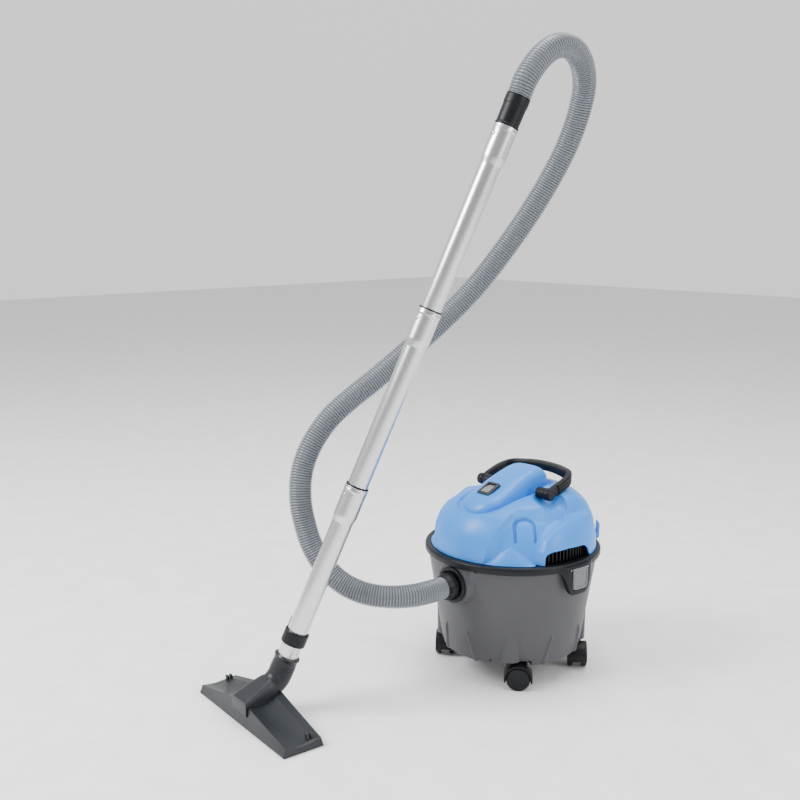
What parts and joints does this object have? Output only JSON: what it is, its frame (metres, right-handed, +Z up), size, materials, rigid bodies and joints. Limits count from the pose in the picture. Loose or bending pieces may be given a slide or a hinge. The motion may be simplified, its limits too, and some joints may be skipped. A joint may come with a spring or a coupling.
{
  "type": "shop vacuum",
  "caption": "Small wet and dry canister vacuum: tub on casters, lift-off motor head, corrugated hose, three-section wand and floor tool.",
  "frame": {"origin": "middle of the footprint of the rigid pieces, on the floor", "axes": "+Z up, -Y the side of the tub that the hose plugs into, +X to the right seen from the front"},
  "size_m": [0.4452, 0.704, 1.117],
  "materials": {
    "blue_shell": "light blue moulded plastic, satin gloss",
    "tub_shell": "mid grey moulded plastic, fine texture",
    "black_trim": "black moulded plastic, satin",
    "handle_black": "black moulded plastic, ribbed",
    "wheel_black": "black moulded plastic wheel",
    "latch_grey": "light grey moulded plastic",
    "switch_black": "black gloss plastic",
    "rocker_grey": "grey rocker under a clear cover",
    "float_white": "white hollow float",
    "pin_steel": "turned steel",
    "motor_steel": "pressed steel",
    "winding_copper": "lacquered copper windings",
    "impeller_aluminium": "pressed aluminium",
    "filter_cloth": "pleated off-white filter cloth",
    "seal_rubber": "black rubber",
    "hose_plastic": "silver grey corrugated hose",
    "wand_aluminium": "drawn aluminium tube, satin",
    "tool_plastic": "charcoal moulded plastic",
    "brush_bristle": "black bristle strip"
  },
  "bodies": {
    "tub": {"tub": "tub_shell", "inlet_flange": "black_trim", "inlet_deflector": "black_trim"},
    "head": {"rim_collar": "black_trim", "latch_pin_left": "pin_steel", "latch_pin_right": "pin_steel", "motor_cover": "blue_shell", "top_cover": "blue_shell", "vent_grille_left": "black_trim", "vent_grille_right": "black_trim", "head_base": "black_trim", "tub_gasket": "seal_rubber", "fan_housing": "motor_steel", "motor_can": "motor_steel", "motor_stator": "winding_copper", "filter_cage": "black_trim", "filter_sleeve": "filter_cloth", "filter_band": "seal_rubber", "switch_bezel": "switch_black", "cable_gland": "seal_rubber", "cable_hook": "blue_shell", "handle_pin_left": "pin_steel", "handle_pin_right": "pin_steel"},
    "handle": {"carry_handle": "handle_black", "handle_cap_left": "handle_black", "handle_cap_right": "handle_black"},
    "rocker": {"power_rocker": "rocker_grey"},
    "float": {"float_ball": "float_white"},
    "rotor": {"motor_rotor": "motor_steel", "impeller": "impeller_aluminium"},
    "latch_left": {"latch_left": "latch_grey"},
    "latch_right": {"latch_right": "latch_grey"},
    "hose_set": {"hose_cuff": "black_trim", "hose": "hose_plastic", "hose_end_tube": "black_trim", "wand_lower": "wand_aluminium", "wand_middle": "wand_aluminium", "wand_upper": "wand_aluminium", "clip_collar": "black_trim", "tool_neck": "tool_plastic"},
    "floor_tool": {"tool_body": "tool_plastic", "tool_sole": "tool_plastic", "tool_lip_front": "seal_rubber", "tool_brush_rear": "brush_bristle"},
    "caster_front_right": {"caster_fork_front_right": "black_trim"},
    "wheels_front_right": {"caster_wheel_inner_front_right": "wheel_black", "caster_wheel_outer_front_right": "wheel_black"},
    "caster_rear_right": {"caster_fork_rear_right": "black_trim"},
    "wheels_rear_right": {"caster_wheel_inner_rear_right": "wheel_black", "caster_wheel_outer_rear_right": "wheel_black"},
    "caster_rear_left": {"caster_fork_rear_left": "black_trim"},
    "wheels_rear_left": {"caster_wheel_inner_rear_left": "wheel_black", "caster_wheel_outer_rear_left": "wheel_black"},
    "caster_front_left": {"caster_fork_front_left": "black_trim"},
    "wheels_front_left": {"caster_wheel_inner_front_left": "wheel_black", "caster_wheel_outer_front_left": "wheel_black"},
    "button_lower": {"snap_button_lower": "pin_steel"},
    "button_middle": {"snap_button_middle": "pin_steel"},
    "button_upper": {"snap_button_upper": "pin_steel"}
  },
  "joints": [
    {"name": "head_lift", "type": "slide", "parent": "tub", "child": "head", "axis": [0, 0, 1], "range_m": [0, 0.16]},
    {"name": "handle_swing", "type": "hinge", "parent": "head", "child": "handle", "pos_m": [0.05176, 0.19497, 0.336], "axis": [1, 0, 0], "range_deg": [0, 75]},
    {"name": "rocker_press", "type": "hinge", "parent": "head", "child": "rocker", "pos_m": [0.05176, 0.12397, 0.342], "axis": [1, 0, 0], "range_deg": [0, 14]},
    {"name": "float_rise", "type": "slide", "parent": "head", "child": "float", "axis": [0, 0, 1], "range_m": [0, 0.054]},
    {"name": "rotor_spin", "type": "hinge", "parent": "head", "child": "rotor", "pos_m": [0.05176, 0.18997, 0.29], "axis": [0, 0, 1], "continuous": true},
    {"name": "latch_left_open", "type": "hinge", "parent": "head", "child": "latch_left", "pos_m": [-0.11384, 0.20155, 0.2234], "axis": [0.0698, 0.9976, 0], "range_deg": [0, 70]},
    {"name": "latch_right_open", "type": "hinge", "parent": "head", "child": "latch_right", "pos_m": [0.21736, 0.17839, 0.2234], "axis": [-0.0698, -0.9976, 0], "range_deg": [0, 70]},
    {"name": "hose_pull", "type": "slide", "parent": "tub", "child": "hose_set", "axis": [0, -1, 0], "range_m": [0, 0.05]},
    {"name": "tool_swivel", "type": "hinge", "parent": "hose_set", "child": "floor_tool", "pos_m": [-0.07061, -0.26243, 0.0583], "axis": [0.0924, 0.8862, 0.454], "range_deg": [-75, 75]},
    {"name": "swivel_front_right", "type": "hinge", "parent": "tub", "child": "caster_front_right", "pos_m": [0.13311, 0.09639, 0.06], "axis": [0, 0, 1], "continuous": true},
    {"name": "roll_front_right", "type": "hinge", "parent": "caster_front_right", "child": "wheels_front_right", "pos_m": [0.14443, 0.10623, 0.021], "axis": [0.6561, -0.7547, 0], "continuous": true},
    {"name": "swivel_rear_right", "type": "hinge", "parent": "tub", "child": "caster_rear_right", "pos_m": [0.14534, 0.27132, 0.06], "axis": [0, 0, 1], "continuous": true},
    {"name": "roll_rear_right", "type": "hinge", "parent": "caster_rear_right", "child": "wheels_rear_right", "pos_m": [0.15518, 0.26, 0.021], "axis": [0.7547, 0.6561, 0], "continuous": true},
    {"name": "swivel_rear_left", "type": "hinge", "parent": "tub", "child": "caster_rear_left", "pos_m": [-0.02959, 0.28355, 0.06], "axis": [0, 0, 1], "continuous": true},
    {"name": "roll_rear_left", "type": "hinge", "parent": "caster_rear_left", "child": "wheels_rear_left", "pos_m": [-0.04091, 0.27371, 0.021], "axis": [-0.6561, 0.7547, 0], "continuous": true},
    {"name": "swivel_front_left", "type": "hinge", "parent": "tub", "child": "caster_front_left", "pos_m": [-0.04182, 0.10862, 0.06], "axis": [0, 0, 1], "continuous": true},
    {"name": "roll_front_left", "type": "hinge", "parent": "caster_front_left", "child": "wheels_front_left", "pos_m": [-0.05166, 0.11994, 0.021], "axis": [-0.7547, -0.6561, 0], "continuous": true},
    {"name": "button_press_lower", "type": "slide", "parent": "hose_set", "child": "button_lower", "axis": [0.065, 0.9407, -0.3329], "range_m": [0, 0.0025], "stiffness_N_per_m": 600, "springref_m": -0.002},
    {"name": "button_press_middle", "type": "slide", "parent": "hose_set", "child": "button_middle", "axis": [0.065, 0.9407, -0.3329], "range_m": [0, 0.0025], "stiffness_N_per_m": 600, "springref_m": -0.002},
    {"name": "button_press_upper", "type": "slide", "parent": "hose_set", "child": "button_upper", "axis": [0.065, 0.9407, -0.3329], "range_m": [0, 0.0025], "stiffness_N_per_m": 600, "springref_m": -0.002}
  ]
}
